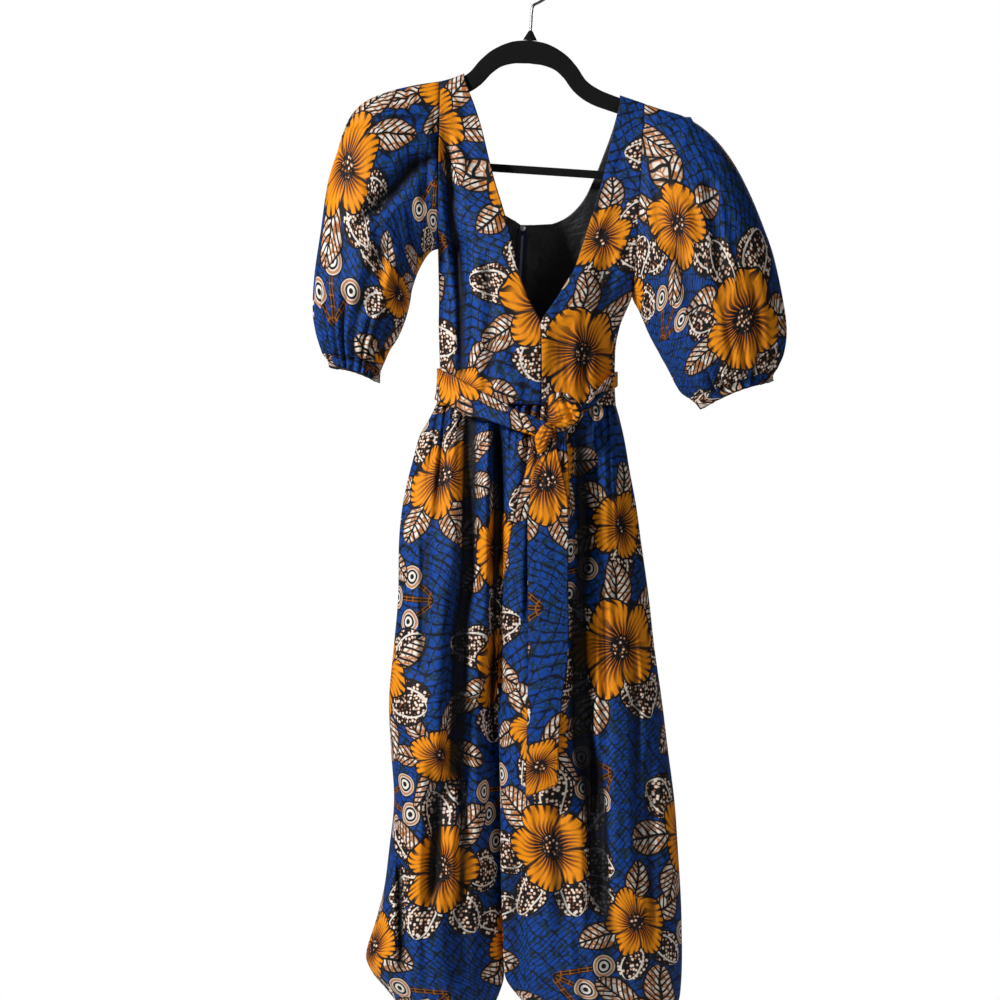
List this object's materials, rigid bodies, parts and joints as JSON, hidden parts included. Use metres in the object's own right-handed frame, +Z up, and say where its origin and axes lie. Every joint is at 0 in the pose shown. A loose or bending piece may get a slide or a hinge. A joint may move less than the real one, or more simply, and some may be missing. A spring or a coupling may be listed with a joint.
{
  "type": "wax print jumpsuit on a velvet hanger",
  "caption": "Puff-sleeved jumpsuit in wax print cotton with a deep V front, a tied sash and balloon legs, on a slim black hanger.",
  "frame": {"origin": "inside top of the hanger's hook, where the rail touches it", "axes": "+Z up, the garment's front faces -Y, +X towards the sleeve on the right of the front view"},
  "size_m": [0.5652, 0.1312, 1.3434],
  "materials": {
    "wax_print": "waxed cotton print of orange flowers and cream leaves on royal blue",
    "lining_black": "plain weave with a soft sheen",
    "zip_tape": "woven tape with a nylon coil",
    "zip_metal": "dull metal",
    "hanger_velvet": "flocked velvet",
    "hook_steel": "bright metal wire"
  },
  "bodies": {
    "jumpsuit_on_hanger": {"back_lining_l": "lining_black", "back_lining_r": "lining_black", "belt_back": "wax_print", "belt_front_l": "wax_print", "belt_front_r": "wax_print", "belt_knot": "wax_print", "belt_knot_wrap": "wax_print", "belt_tail_behind": "wax_print", "belt_tail_front": "wax_print", "bodice_back_l": "wax_print", "bodice_back_r": "wax_print", "bodice_front_l": "wax_print", "bodice_front_r": "wax_print", "hanger_arms": "hanger_velvet", "hanger_bar": "hanger_velvet", "hanger_collar": "hanger_velvet", "hanger_hook": "hook_steel", "leg_back_l": "wax_print", "leg_back_r": "wax_print", "leg_cuff_l": "wax_print", "leg_cuff_r": "wax_print", "leg_front_l": "wax_print", "leg_front_r": "wax_print", "sleeve_cuff_l": "wax_print", "sleeve_cuff_r": "wax_print", "sleeve_l": "wax_print", "sleeve_r": "wax_print", "zip_chain": "zip_tape", "zip_slider": "zip_metal"},
    "zip_pull_tab": {"zip_pull": "zip_metal"}
  },
  "joints": [
    {"name": "pull_tab_hinge", "type": "hinge", "parent": "jumpsuit_on_hanger", "child": "zip_pull_tab", "pos_m": [-0.01301, 0.03959, -0.308], "axis": [1, 0, 0], "range_deg": [-5, 150]}
  ]
}
